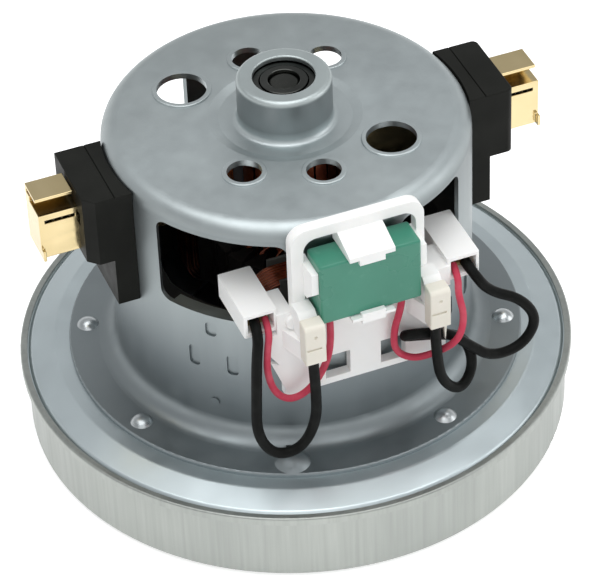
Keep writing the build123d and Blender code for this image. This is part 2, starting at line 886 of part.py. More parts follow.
def make_coil_insulator():
    middle_z = (core_bottom + core_top) / 2
    high = (core_top - core_bottom) / 2
    y0, y1 = -bobbin_outer_y, -bobbin_inner_y
    x = pole_half_width + seat_gap
    z = high + seat_gap
    wall = bobbin_wall
    tunnel = box(-x - wall, x + wall, y0, y1, -z - wall, z + wall)
    tunnel = tunnel - box(-x, x, y0 - overrun, y1 + overrun, -z, z)
    reach = z + bobbin_flange_reach
    flange = box(-x - wall, x + wall, y0, y0 + bobbin_flange, z, reach)
    flange = flange + box(-x - wall, x + wall, y1 - bobbin_flange, y1, z, reach)
    flange = flange + mirror(flange, Plane.XY)
    return Pos(0, 0, middle_z) * (tunnel + flange)


# Brush gear, made on the +X side

def make_brush_tube():
    z0, z1 = brush_z - tube_half_height, brush_z + tube_half_height
    w = tube_half_width
    shell = box(tube_inner_x, tube_outer_x, -w, w, z0, z1)
    hollow = box(tube_inner_x - overrun, tube_outer_x - tube_wall, -w + tube_wall, w - tube_wall,
                 z0 + tube_wall, z1 - tube_wall)
    rail = box(holder_outer_x + part_gap, tube_outer_x, w - tube_wall, w, z1, z1 + rail_height)
    rail = rail + box(holder_outer_x + part_gap, tube_outer_x, w - rail_width, w, z1 + rail_height - tube_wall,
                      z1 + rail_height)
    slot = box(holder_outer_x + tube_wall, tube_outer_x - 2 * tube_wall, -w - overrun, -w + tube_wall,
               z1 - 3 * tube_slot_height, z1 - 2 * tube_slot_height)
    size, thick = tube_lug_size, tube_lug_thickness
    upper = box(tube_outer_x - thick, tube_outer_x, w - size, w, z1 - thick, z1 + size / 2)
    lower = box(tube_outer_x - thick, tube_outer_x, -w - size / 2, -w + thick, z0, z0 + size)
    return shell - hollow - slot + rail + upper + lower


def make_carbon_brush():
    block = box(commutator_radius - brush_half_width, commutator_radius + brush_length, -brush_half_width,
                brush_half_width, brush_z - brush_half_height, brush_z + brush_half_height)
    return block - disc(commutator_radius + running_gap, brush_z - 2 * brush_half_height,
                        brush_z + 2 * brush_half_height)


def make_brush_spring():
    start = commutator_radius + brush_length
    stop = tube_outer_x - tube_wall
    pad = spring_pad
    travel = stop - start - 2 * pad - spring_wire
    path = spring_path(start + pad + spring_wire / 2, travel)
    wire = sweep(Plane(origin=path @ 0, z_dir=path % 0) * Circle(spring_wire / 2), path=path)
    ends = [Pos(x, 0, brush_z) * Rot(0, 90, 0) * Cylinder(spring_radius + spring_wire, pad)
            for x in (start + pad / 2 + seat_gap, stop - pad / 2)]
    return wire + ends


def spring_path(start, length):
    edges = []
    half = length / spring_curls / 2
    for i in range(2 * spring_curls):
        x = start + half * i
        side = 1 if i % 2 == 0 else -1
        a = Vector(x, 0, brush_z + side * spring_radius)
        b = Vector(x + half, 0, brush_z - side * spring_radius)
        edges.append(Edge.make_tangent_arc(a, Vector(0, side, 0), b))
    return Wire(edges)


def make_brush_holder(rounded):
    w = holder_half_width
    outer = box(holder_inner_x, holder_outer_x, -w, w, holder_outer_bottom, holder_top)
    inner = box(holder_inner_x, holder_step_x, -w, w, holder_inner_bottom, holder_outer_bottom)
    shape = outer + inner
    upright = shape.edges().filter_by(Axis.Z)
    far = upright.group_by(Axis.X)[-1]
    if rounded:
        shape = fillet(far, holder_corner)
    else:
        shape = chamfer(far.sort_by(Axis.Y)[0], holder_chamfer)
    rim = shape.edges().group_by(Axis.Z)[-1]
    shape = fillet(rim, holder_line_depth)
    gap = seat_gap
    wall = disc(wall_radius + gap, holder_inner_bottom - overrun, holder_top + overrun)
    shape = shape - wall + holder_neck(0)
    channel = box(holder_inner_x - overrun, holder_outer_x + overrun, -tube_half_width - gap,
                  tube_half_width + gap, brush_z - tube_half_height - gap, brush_z + tube_half_height + gap)
    line = box(holder_line_x, holder_line_x + holder_line_depth, -w - overrun, w + overrun,
               holder_top - holder_line_depth, holder_top + overrun)
    notch = box(holder_outer_x - holder_notch, holder_outer_x + overrun, -tube_half_width - holder_notch,
                -tube_half_width, brush_z + holder_notch, brush_z + holder_notch + holder_notch_height)
    return shape - channel - line - notch


# Terminal carrier

def block_shell(x):
    w = block_half_width
    shell = box(x - w, x + w, block_front, block_rear, block_bottom, block_top)
    upright = shell.edges().filter_by(Axis.Z)
    shell = fillet(upright, block_wall / 2)
    inside = box(x - w + block_wall, x + w - block_wall, block_front - overrun, block_rear - block_wall,
                 block_bottom + block_wall + block_cheek_height, block_top - block_wall)
    return shell - inside


def carrier_post(x):
    w = post_half_width
    post = box(x - w, x + w, tab_back, carrier_front + seat_gap, post_bottom, post_top)
    edge = post.edges().filter_by(Axis.X).sort_by(lambda e: e.center().Z - e.center().Y)[-1]
    low = post.edges().filter_by(Axis.X).sort_by(lambda e: e.center().Z + e.center().Y)[0]
    return chamfer([edge, low], post_wedge)


def gusset(x):
    far = x - post_half_width
    plan = make_face(Polyline((far, tab_back), (far + post_wedge, carrier_front), (far, carrier_front + seat_gap),
                              (far - gusset_width, carrier_front + seat_gap), close=True))
    return Pos(0, 0, post_bottom) * extrude(plan, gusset_top - post_bottom)


def arch():
    depth = carrier_rear - arch_front
    plane = Plane(origin=(0, carrier_rear, 0), x_dir=(1, 0, 0), z_dir=(0, -1, 0))
    width, height = arch_right - arch_left, arch_top - arch_bottom
    middle = Pos((arch_left + arch_right) / 2, (arch_top + arch_bottom) / 2)
    plate = extrude(middle * Rectangle(width, height), depth)
    plate = fillet(plate.edges().filter_by(Axis.Z).group_by(Axis.Y)[-1], arch_corner)
    left = capacitor_x - capacitor_half_width - seat_gap - arm_thickness + arm_joint
    right = capacitor_x + capacitor_half_width + seat_gap + arm_thickness - arm_joint
    high = arch_top - arch_border
    middle = Pos((left + right) / 2, (high + arch_opening_bottom) / 2)
    opening = extrude(middle * Rectangle(right - left, high - arch_opening_bottom), depth)
    opening = fillet(opening.edges().filter_by(Axis.Z).group_by(Axis.Y)[-1], arch_inner_corner)
    low = box(arch_left - overrun, arch_right + overrun, arch_front - overrun, carrier_front,
              arch_bottom - overrun, arch_opening_bottom)
    return plane * (plate - opening) - low


def bar():
    plate = box(bar_left, bar_right, carrier_front, carrier_rear, bar_bottom, bar_top)
    for side in (-1, 1):
        x = side * bar_window_x
        plate = plate - box(x - bar_window_half, x + bar_window_half, carrier_front - overrun,
                            carrier_rear + overrun, bar_window_bottom, bar_window_top)
    return plate


def side_panel():
    face = make_face(Polyline(
        (arch_left + seat_gap, shelf_bottom + seat_gap), (panel_left, shelf_bottom + seat_gap),
        (panel_left, hook_top + hook_notch), (bar_left - hook_reach, hook_top - hook_reach),
        (panel_left, hook_top), (hook_toe_x, bar_bottom + hook_toe), (arch_left + seat_gap, bar_bottom + hook_toe),
        close=True))
    return Pos(0, carrier_front + panel_thickness, 0) * (Plane.XZ * extrude(face, panel_thickness))


def shelves():
    near = block_centre_x - block_half_width + block_wall / 2
    shape = []
    for x0, x1 in ((-near, arch_left + post_wedge), (arch_right - post_wedge, near)):
        shape.append(box(x0, x1, carrier_front, carrier_back, shelf_bottom, shelf_top))
    shape.append(box(-near, arch_left, carrier_front, deck_rear, shelf_top - deck_thickness, shelf_top))
    shape.append(box(arch_right, near, carrier_front, deck_rear, shelf_top - deck_thickness, shelf_top))
    return joined(shape)


def top_clip():
    front = capacitor_front - seat_gap
    low = capacitor_top + seat_gap
    high = arch_top - arch_border + seat_gap
    side = make_face(Polyline((carrier_rear, low), (carrier_rear, high), (arch_front, high),
                              (front - clip_thickness, low + clip_thickness), (front - clip_thickness, low),
                              close=True))
    x, w = capacitor_x, top_clip_half_width
    roof = Pos(x - w, 0, 0) * (Plane.YZ * extrude(side, 2 * w))
    barb = box(x - barb_half_width, x + barb_half_width, front - clip_thickness, front, low - barb_drop,
               low + seat_gap)
    return roof + barb


def bottom_clip():
    front = capacitor_front - seat_gap
    low = capacitor_bottom - seat_gap
    x, w = capacitor_x, bottom_clip_half_width
    floor = box(x - w, x + w, front - clip_thickness, carrier_back + seat_gap, low - bottom_clip_thickness, low)
    w = bottom_lip_half_width
    return floor + box(x - w, x + w, front - clip_thickness, front, low - bottom_lip_drop, low + bottom_lip_rise)


def arms():
    side = make_face(Polyline((carrier_rear, arm_rear_bottom), (carrier_rear, arm_top), (arm_front, arm_top),
                              (arm_front, arm_front_bottom), (arm_slope_y, arm_slope_z), close=True))
    reach = capacitor_half_width + seat_gap
    left = Pos(capacitor_x - reach - arm_thickness, 0, 0) * (Plane.YZ * extrude(side, arm_thickness))
    right = Pos(capacitor_x + reach, 0, 0) * (Plane.YZ * extrude(side, arm_thickness))
    return left + right


def make_terminal_carrier():
    shape = arch() + bar() + side_panel() + shelves() + top_clip() + bottom_clip() + arms()
    shape = shape + block_shell(-block_centre_x) + block_shell(block_centre_x)
    for x in (-tab_x, tab_x - post_wedge / 2):
        shape = shape + carrier_post(x) + gusset(x)
    boss = Rot(90, 0, 0) * Cylinder(carrier_boss_radius, carrier_boss_height + seat_gap)
    centre_y = carrier_front - carrier_boss_height / 2
    shape = shape + Pos(carrier_boss_x - post_half_width, centre_y, carrier_boss_z) * boss
    return shape


def make_capacitor():
    w = capacitor_half_width
    shape = box(capacitor_x - w, capacitor_x + w, capacitor_front, capacitor_back, capacitor_bottom, capacitor_top)
    return fillet(shape.edges(), capacitor_rounding)


def make_tab_housing(x, with_tongue):
    w = tab_half_width
    shape = box(x - w, x + w, tab_front, tab_back, tab_bottom, tab_top)
    edge = shape.edges().filter_by(Axis.X).sort_by(lambda e: e.center().Z - e.center().Y)[-1]
    shape = fillet(edge, tab_chamfer)
    shape = fillet(shape.edges().filter_by(Axis.Z), tab_latch_depth)
    slot = box(x - w + tab_latch_depth, x + w - tab_chamfer, tab_front - overrun, tab_front + tab_latch_depth,
               tab_latch_z, tab_latch_z + tab_latch_height)
    dimple = Pos(x, tab_front, tab_dimple_z) * Sphere(tab_dimple)
    shape = shape - slot - dimple
    if with_tongue:
        near = x + w - tongue_width
        face = make_face(Polyline((near, tab_bottom + seat_gap), (near + tongue_width, tab_bottom + seat_gap),
                                  (near + tongue_width / 2, tab_bottom - tongue_length), close=True))
        tongue = Pos(0, tab_back - tab_chamfer / 2, 0) * (Plane.XZ * extrude(face, tongue_width))
        shape = shape + tongue
    return shape


def make_terminal(x):
    floor = block_bottom + block_wall + block_cheek_height
    w = terminal_half_width
    base = box(x - w, x + w, terminal_front, terminal_front + terminal_length, floor, floor + terminal_thickness)
    side = box(x - w, x - w + terminal_thickness, terminal_front, terminal_front + terminal_length / 2, floor,
               floor + 4 * terminal_thickness)
    return base + side + mirror(Pos(-x, 0, 0) * side, Plane.YZ).moved(Location((x, 0, 0)))


# Wires

def bend_radii(points):
    radii = []
    for i in range(1, len(points) - 1):
        before = Vector(*points[i]) - Vector(*points[i - 1])
        after = Vector(*points[i + 1]) - Vector(*points[i])
        half_turn = math.radians(before.get_angle(after)) / 2
        radii.append(bend_share * min(before.length, after.length) / math.tan(half_turn))
    return radii


def make_wire(name, points, diameter):
    radii = bend_radii(points)
    path = FilletPolyline(*points, radius=radii)
    section = Plane(origin=path @ 0, z_dir=path % 0) * Circle(diameter / 2)
    piece = sweep(section, path=path)
    print(name, "length", round(path.length, 1), "radii", [round(r, 1) for r in radii],
          "volume share", round(piece.volume / (path.length * math.pi * diameter ** 2 / 4), 3))
    return piece


def main():
    os.makedirs("parts", exist_ok=True)
    export(make_fan_case(), "fan_case")
    export(make_end_plate(), "end_plate")
    export(make_motor_bracket(), "motor_bracket")
    export(make_flange_rivets(), "flange_rivets")
    export(make_diffuser(), "diffuser")
    export(make_diffuser_screws(), "diffuser_screws")
    export(make_impeller_backplate(), "impeller_backplate")
    export(make_impeller_blades(), "impeller_blades")
    export(turned(shroud_corners()), "impeller_shroud")
    export(make_impeller_washers(), "impeller_washers")
    export(make_impeller_nut(), "impeller_nut")
    export(make_impeller_spacer(), "impeller_spacer")
    export(make_shaft(), "shaft")
    for name, base, z0 in (("top", top_bearing_z, top_bearing_z + bearing_width - 2 * shield_thickness),
                           ("bottom", bottom_bearing_z, bottom_bearing_z + shield_thickness)):
        export(make_outer_ring(base), name + "_bearing_outer_ring")
        export(make_inner_ring(base), name + "_bearing_inner_ring")
        export(make_balls(base), name + "_bearing_balls")
        export(make_shield(z0, z0 + shield_thickness), name + "_bearing_shield")
    export(make_armature_core(), "armature_core")
    export(make_armature_windings(), "armature_windings")
    export(make_commutator_hub(), "commutator_hub")
    export(make_commutator_bars(), "commutator_bars")
    export(make_field_core(), "field_core")
    coil = make_field_coil()
    insulator = make_coil_insulator()
    export(coil, "field_coil_front")
    export(mirror(coil, Plane.XZ), "field_coil_rear")
    export(insulator, "coil_insulator_front")
    export(mirror(insulator, Plane.XZ), "coil_insulator_rear")
    brush_tube, carbon, spring = make_brush_tube(), make_carbon_brush(), make_brush_spring()
    export(brush_tube, "brush_tube_right")
    export(mirror(brush_tube, Plane.YZ), "brush_tube_left")
    export(carbon, "carbon_brush_right")
    export(mirror(carbon, Plane.YZ), "carbon_brush_left")
    export(spring, "brush_spring_right")
    export(mirror(spring, Plane.YZ), "brush_spring_left")
    export(make_brush_holder(True), "brush_holder_right")
    export(mirror(make_brush_holder(False), Plane.YZ), "brush_holder_left")
    export(make_terminal_carrier(), "terminal_carrier")
    export(make_capacitor(), "capacitor")
    export(make_tab_housing(-tab_x, False), "tab_housing_left")
    export(make_tab_housing(tab_x - post_wedge / 2, True), "tab_housing_right")
    export(make_terminal(-block_centre_x), "terminal_left")
    export(make_terminal(block_centre_x), "terminal_right")
    export(make_wire("wire_black_left", points_black_left, thick_wire), "wire_black_left")
    export(make_wire("wire_red_left", points_red_left, thin_wire), "wire_red_left")
    export(make_wire("wire_red_right", points_red_right, thin_wire), "wire_red_right")
    export(make_wire("wire_black_right", points_black_right, thick_wire), "wire_black_right")


main()
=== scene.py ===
# %% [markdown]
# # A vacuum motor unit
# The motor stands on its flat fan case, with the vented bracket, the brush holders and the terminal
# carrier above it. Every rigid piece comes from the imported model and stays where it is. This lesson gives
# each piece its finish, and makes the wound pieces, the springs and the wires as fuller forms of its own.

# %% Load the frame
import json
import math
import random

import bpy
from mathutils import Matrix, Vector


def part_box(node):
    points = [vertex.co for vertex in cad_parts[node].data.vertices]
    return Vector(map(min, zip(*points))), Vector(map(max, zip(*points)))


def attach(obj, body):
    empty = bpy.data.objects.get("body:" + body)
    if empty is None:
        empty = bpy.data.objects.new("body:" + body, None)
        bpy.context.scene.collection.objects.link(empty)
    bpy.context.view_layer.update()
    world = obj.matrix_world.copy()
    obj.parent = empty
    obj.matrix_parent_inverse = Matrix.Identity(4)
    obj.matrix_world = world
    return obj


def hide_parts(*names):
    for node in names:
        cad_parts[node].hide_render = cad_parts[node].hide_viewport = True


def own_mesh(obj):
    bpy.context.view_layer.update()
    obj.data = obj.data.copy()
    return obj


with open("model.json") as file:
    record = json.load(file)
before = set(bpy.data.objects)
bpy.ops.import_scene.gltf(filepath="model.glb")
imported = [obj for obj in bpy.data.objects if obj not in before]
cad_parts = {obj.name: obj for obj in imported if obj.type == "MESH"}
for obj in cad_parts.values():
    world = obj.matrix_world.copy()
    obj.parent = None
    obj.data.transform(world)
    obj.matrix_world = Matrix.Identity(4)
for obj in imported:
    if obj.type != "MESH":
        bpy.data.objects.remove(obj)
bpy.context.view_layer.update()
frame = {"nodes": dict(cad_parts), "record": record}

nodes = frame["nodes"]
mm = 0.001

# %% [markdown]
# ## Camera
# The photograph was taken from the front left, about 40 degrees above the floor, with a long lens. A camera
# can be turned by angles or by a full matrix. The matrix is chosen here, because the picture also leans a
# little, and a lean is one more turn of the right and down directions about the line of sight.

# %% The camera
photo_width = 600
focal_pixels = 3278.6
film_width = 36
nearest_seen = 10 * mm
camera_place = Vector((-0.2267, -0.6164, 0.5865))
camera_target = Vector((-0.00231, -0.01105, 0.043))
camera_lean = math.radians(2.53)


def make_camera():
    data = bpy.data.cameras.new("photo_camera")
    data.sensor_width = film_width
    data.lens = focal_pixels / photo_width * film_width
    data.clip_start = nearest_seen
    camera = bpy.data.objects.new("photo_camera", data)
    bpy.context.collection.objects.link(camera)
    forward = (camera_target - camera_place).normalized()
    right = forward.cross(Vector((0, 0, 1))).normalized()
    down = forward.cross(right)
    right_leant = math.cos(camera_lean) * right + math.sin(camera_lean) * down
    down_leant = math.cos(camera_lean) * down - math.sin(camera_lean) * right
    turn = Matrix((right_leant, -down_leant, -forward)).transposed().to_4x4()
    camera.matrix_world = Matrix.Translation(camera_place) @ turn
    bpy.context.scene.camera = camera
    return camera


camera = make_camera()
print("lens", round(camera.data.lens, 1), "mm")

# %% [markdown]
# ## Small helpers for finishes
# A finish is a node tree that ends in the Principled shader. It could be built node by node for each
# material, but most finishes share the same few patterns. So the helpers below add a node, join two sockets
# and make a cloud of noise, a range for it, and a bump from it. The patterns use object coordinates, so they
# stay on a piece when it moves, and need no unwrapped mesh.

# %% A new finish


def new_finish(name, metallic=0.0, roughness=0.5):
    finish = bpy.data.materials.new(name)
    finish.use_nodes = True
    shader = shader_of(finish)
    shader.inputs["Metallic"].default_value = metallic
    shader.inputs["Roughness"].default_value = roughness
    return finish


def shader_of(finish):
    return finish.node_tree.nodes["Principled BSDF"]


def add_node(finish, kind, values=None, **settings):
    node = finish.node_tree.nodes.new(kind)
    for key, value in settings.items():
        setattr(node, key, value)
    for key, value in (values or {}).items():
        node.inputs[key].default_value = value
    return node


def join(finish, output, target):
    finish.node_tree.links.new(output, target)


print("a finish starts as one Principled shader")

# %% Patterns that depend on the place
usual_noise = (0.3, 0.7)


def cloud(finish, scale, stretch=(1, 1, 1), detail=3.0):
    place = add_node(finish, "ShaderNodeTexCoord")
    mapping = add_node(finish, "ShaderNodeMapping", {"Scale": stretch})
    noise = add_node(finish, "ShaderNodeTexNoise", {"Scale": scale, "Detail": detail})
    join(finish, place.outputs["Object"], mapping.inputs["Vector"])
    join(finish, mapping.outputs["Vector"], noise.inputs["Vector"])
    return noise.outputs["Fac"]


def place_along(finish, axis):
    place = add_node(finish, "ShaderNodeTexCoord")
    split = add_node(finish, "ShaderNodeSeparateXYZ")
    join(finish, place.outputs["Object"], split.inputs["Vector"])
    return split.outputs[axis]


def in_range(finish, value, span, result=(0, 1)):
    node = add_node(finish, "ShaderNodeMapRange",
                    {"From Min": span[0], "From Max": span[1], "To Min": result[0], "To Max": result[1]})
    join(finish, value, node.inputs["Value"])
    return node.outputs["Result"]


print("patterns follow the object's own coordinates")

# %% Colours and relief


def blend_colours(finish, factor, first, second):
    node = add_node(finish, "ShaderNodeMix", data_type="RGBA")
    join(finish, factor, node.inputs["Factor"])
    for socket, colour in ((node.inputs[6], first), (node.inputs[7], second)):
        if isinstance(colour, tuple):
            socket.default_value = (*colour, 1)
        else:
            join(finish, colour, socket)
    return node.outputs[2]


def add_bump(finish, height, distance, strength):
    node = add_node(finish, "ShaderNodeBump", {"Distance": distance, "Strength": strength})
    join(finish, height, node.inputs["Height"])
    before = shader_of(finish).inputs["Normal"]
    if before.is_linked:
        join(finish, before.links[0].from_socket, node.inputs["Normal"])
    join(finish, node.outputs["Normal"], before)


def set_colour(finish, colour):
    join(finish, colour, shader_of(finish).inputs["Base Color"])


def set_roughness(finish, noise, shine):
    join(finish, in_range(finish, noise, usual_noise, shine), shader_of(finish).inputs["Roughness"])


print("bumps can be laid one over another")

# %% [markdown]
# ## Nicks
# Handled sheet has a few small dark nicks. Painting them would need an image. Voronoi cells give scattered
# spots without one: the distance to a cell's centre makes a dot, and the cell's random colour decides
# whether this cell has a nick at all.

# %% Nicks
nick_scale = 95
nick_size = 0.07
nick_core_share = 0.6
nick_colour = (0.05, 0.055, 0.055)
nick_edge = 0.01
few_nicks = 0.04


def nicks(finish, share):
    place = add_node(finish, "ShaderNodeTexCoord")
    cells = add_node(finish, "ShaderNodeTexVoronoi", {"Scale": nick_scale})
    join(finish, place.outputs["Object"], cells.inputs["Vector"])
    near = in_range(finish, cells.outputs["Distance"], (nick_size, nick_size * nick_core_share))
    split = add_node(finish, "ShaderNodeSeparateColor")
    join(finish, cells.outputs["Color"], split.inputs["Color"])
    chosen = in_range(finish, split.outputs["Red"], (1 - share, 1 - share + nick_edge))
    both = add_node(finish, "ShaderNodeMath", operation="MULTIPLY")
    join(finish, near, both.inputs[0])
    join(finish, chosen, both.inputs[1])
    return both.outputs["Value"]


print("one nick in", round(1 / few_nicks), "cells on the plate and the bracket")

# %% [markdown]
# ## Sheet steel
# The case, the end plate and the bracket are pressed from zinc-coated sheet. One flat grey would look like
# paint. Real coated sheet has soft clouds where oil and hands have dulled it, a very fine grain, a few dark
# nicks, and on the case's band long drawing marks that run up and down. So one function makes the sheet, and
# its values say how each pressing differs. The bracket's colour also carries painted shade: it is painted
# darker on its wall, its shoulder, the boss's side and towards the back of its disc, in place of the shade
# and darker reflections there, and to hold down the lamp's highlight on the shoulder. So it also has zones,
# each of which blends in a tone along one axis. A zone's span says where its tone starts and where it is full.

# %% Sheet steel
stain_scale = 26
gloss_scale = 150
grain_scale = 1800
streak_shade_share = 0.55
streak_relief = 0.03 * mm
grain_relief = 0.008 * mm
upright = (1, 1, 0.03)
every_way = (1, 1, 1)


def sheet_steel(name, bright, dull, shine, stretch, streak_scale, streak_depth, nick_share, zones=()):
    finish = new_finish(name, metallic=1.0)
    stain = in_range(finish, cloud(finish, stain_scale), (0.3, 0.72))
    colour = blend_colours(finish, stain, bright, dull)
    streak = cloud(finish, streak_scale, stretch, detail=5)
    streak_mask = in_range(finish, streak, (0.3, 0.75), (0, streak_depth))
    colour = blend_colours(finish, streak_mask, colour, tuple(v * streak_shade_share for v in dull))
    for zone in zones:
        mask = in_range(finish, place_along(finish, zone["axis"]), zone["span"], (0, zone["share"]))
        colour = blend_colours(finish, mask, colour, zone["tone"])
    set_colour(finish, blend_colours(finish, nicks(finish, nick_share), colour, nick_colour))
    set_roughness(finish, cloud(finish, gloss_scale, stretch, detail=5), shine)
    add_bump(finish, streak, streak_relief, strength=0.5)
    add_bump(finish, cloud(finish, grain_scale, detail=2), grain_relief, strength=0.6)
    return finish


case_steel = sheet_steel("case_steel", bright=(0.42, 0.44, 0.415), dull=(0.37, 0.39, 0.37),
                         shine=(0.36, 0.48), stretch=upright, streak_scale=900, streak_depth=0.3,
                         nick_share=0)
plate_steel = sheet_steel("plate_steel", bright=(0.62, 0.69, 0.71), dull=(0.57, 0.64, 0.66),
                          shine=(0.34, 0.44), stretch=every_way, streak_scale=60, streak_depth=0.12,
                          nick_share=few_nicks)
print("sheet finishes:", case_steel.name, plate_steel.name)

# %% The bracket's steel
# Painted shade: the back of the disc is painted darker, for the darker reflection there.
disc_back_painted_shade = dict(axis="Y", span=(0, 48 * mm), share=0.55, tone=(0.30, 0.33, 0.33))
# Painted shade: the shoulder is painted darker to hold down the lamp's highlight, and the wall for its darker
# reflections.
shoulder_painted_shade = dict(axis="Z", span=(91.8 * mm, 88.5 * mm), share=1, tone=(0.23, 0.255, 0.26))
upper_wall_painted_shade = dict(axis="Z", span=(86 * mm, 62 * mm), share=1, tone=(0.32, 0.355, 0.36))
lower_wall_painted_shade = dict(axis="Z", span=(66 * mm, 42 * mm), share=0.6, tone=(0.16, 0.18, 0.195))
flange = dict(axis="Z", span=(34 * mm, 29 * mm), share=1, tone=(0.26, 0.29, 0.30))
# Painted shade: the boss's side is painted darker; its flat top face gets a lighter grey back.
boss_side_painted_shade = dict(axis="Z", span=(93 * mm, 95 * mm), share=0.85, tone=(0.21, 0.23, 0.235))
boss_face = dict(axis="Z", span=(102.6 * mm, 103.8 * mm), share=1, tone=(0.47, 0.52, 0.52))
bracket_painted_shade_zones = (disc_back_painted_shade, shoulder_painted_shade, upper_wall_painted_shade, lower_wall_painted_shade, flange, boss_side_painted_shade, boss_face)
bracket_steel = sheet_steel("bracket_steel", bright=(0.52, 0.57, 0.575), dull=(0.475, 0.525, 0.535),
                            shine=(0.38, 0.5), stretch=upright, streak_scale=260, streak_depth=0.14,
                            nick_share=few_nicks, zones=bracket_painted_shade_zones)
print("bracket zones", len(bracket_painted_shade_zones))

# %% [markdown]
# ## Turned and ground metal
# The shaft, bearings, rivets, washers and springs are turned, ground or drawn, so their marks run round the
# axis in fine rings. A streaked, anisotropic gleam could stand for them, but it depends on tangents. Noise
# that is stretched the same way in X and Y, and packed tightly in Z, gives rings without any unwrapping. The
# fan is aluminium, lighter and duller.

# %% Turned metal
turned_tone_scale = 120
round_the_axis = (0.05, 0.05, 1)
ring_relief = 0.006 * mm


def turned_metal(name, bright, dull, shine, ring_scale):
    finish = new_finish(name, metallic=1.0)
    tone = in_range(finish, cloud(finish, turned_tone_scale, detail=4), usual_noise)
    set_colour(finish, blend_colours(finish, tone, bright, dull))
    rings = cloud(finish, ring_scale, round_the_axis)
    set_roughness(finish, rings, shine)
    add_bump(finish, rings, ring_relief, strength=0.6)
    return finish


rivet_steel = turned_metal("rivet_steel", bright=(0.62, 0.65, 0.66), dull=(0.40, 0.43, 0.44),
                           shine=(0.22, 0.36), ring_scale=900)
# Painted shade: the bearing and the shaft get a near-black steel, for the shade in the boss's recess that
# holds them.
bearing_steel = turned_metal("bearing_steel", bright=(0.08, 0.083, 0.078), dull=(0.045, 0.047, 0.044),
                             shine=(0.16, 0.28), ring_scale=2500)
shaft_steel = turned_metal("shaft_steel", bright=(0.07, 0.072, 0.066), dull=(0.04, 0.042, 0.038),
                           shine=(0.22, 0.34), ring_scale=2500)
spring_steel = turned_metal("spring_steel", bright=(0.55, 0.54, 0.51), dull=(0.38, 0.37, 0.35),
                            shine=(0.25, 0.35), ring_scale=1500)
fan_aluminium = turned_metal("fan_aluminium", bright=(0.74, 0.75, 0.76), dull=(0.62, 0.63, 0.65),
                             shine=(0.3, 0.45), ring_scale=1200)
print("turned finishes are ready")

# %% [markdown]
# ## Laminations
# The field and the armature are stacks of thin varnished sheets. Cutting every sheet into the mesh would
# cost a great many faces. Their edges only show as fine dark lines round the stack, so a wave along Z makes
# both the colour and the relief of each sheet.

# %% Laminations
sheet_pitch = 0.5 * mm
wave_length_at_scale_one = 0.314
gap_colour = (0.015, 0.014, 0.013)
sheet_colour = (0.075, 0.072, 0.068)
varnish_colour = (0.03, 0.022, 0.016)
varnish_scale = 90
sheet_relief = 0.05 * mm


def laminations():
    finish = new_finish("lamination_steel", metallic=0.75)
    place = add_node(finish, "ShaderNodeTexCoord")
    wave = add_node(finish, "ShaderNodeTexWave",
                    {"Scale": wave_length_at_scale_one / sheet_pitch, "Distortion": 0.6, "Detail": 2.0},
                    bands_direction="Z")
    join(finish, place.outputs["Object"], wave.inputs["Vector"])
    edge = in_range(finish, wave.outputs["Fac"], (0.05, 0.5))
    colour = blend_colours(finish, edge, gap_colour, sheet_colour)
    varnish = in_range(finish, cloud(finish, varnish_scale, detail=4), (0.45, 0.75), (0, 0.7))
    set_colour(finish, blend_colours(finish, varnish, colour, varnish_colour))
    add_bump(finish, edge, sheet_relief, strength=0.7)
    return finish


lamination_steel = laminations()
print("sheets of", sheet_pitch / mm, "mm")

# %% [markdown]
# ## Copper and brass
# The windings are enamelled copper. A metal alone would look bare, so a clear coat over it stands for the
# enamel. The brush tubes are bare bright brass with darker, handled patches, and a fine rolled grain that
# runs along the strip, which stretched noise gives.

# %% Copper
copper_tone_scale = 160
enamel_grain_scale = 2200
enamel_relief = 0.006 * mm
light_copper = (0.42, 0.11, 0.045)
dark_copper = (0.22, 0.05, 0.024)


def winding_copper():
    finish = new_finish("copper", metallic=1.0, roughness=0.3)
    tone = in_range(finish, cloud(finish, copper_tone_scale), (0.35, 0.65))
    set_colour(finish, blend_colours(finish, tone, light_copper, dark_copper))
    shader_of(finish).inputs["Coat Weight"].default_value = 0.6
    shader_of(finish).inputs["Coat Roughness"].default_value = 0.15
    add_bump(finish, cloud(finish, enamel_grain_scale, detail=2), enamel_relief, strength=0.5)
    return finish


copper = winding_copper()
print("copper has an enamel coat")

# %% Brass
patch_scale = 60
patch_stretch = (1, 0.4, 1)
rolled_scale = 900
along_the_strip = (0.08, 1, 1)
rolled_relief = 0.003 * mm
bright_brass = (0.76, 0.62, 0.36)
handled_brass = (0.60, 0.48, 0.25)


def strip_brass():
    finish = new_finish("brass", metallic=1.0)
    tone = in_range(finish, cloud(finish, patch_scale, patch_stretch), (0.35, 0.7))
    set_colour(finish, blend_colours(finish, tone, bright_brass, handled_brass))
    grain = cloud(finish, rolled_scale, along_the_strip, detail=4)
    set_roughness(finish, grain, (0.14, 0.24))
    add_bump(finish, grain, rolled_relief, strength=0.4)
    return finish


brass = strip_brass()
print("brass has a rolled grain")

# %% [markdown]
# ## Moulded plastics
# The holders are black with a satin skin, the carrier is white and a little see-through at its edges, and
# the tab housings are cream. The coil insulation is a dusty, lighter black. A moulded skin has a fine pebble
# from the tool and slow changes of gloss. Separate node trees could give each one, but they differ only in a
# few values, so one function takes the colours, the gloss, the depth of the pebble, how far light gets into
# the plastic, and how strongly the skin reflects.

# %% Plastics
plastic_tone_scale = 70
plastic_gloss_scale = 210
pebble_scale = 1700
light_depth = 0.8 * mm
light_depth_by_colour = (1.0, 0.9, 0.8)


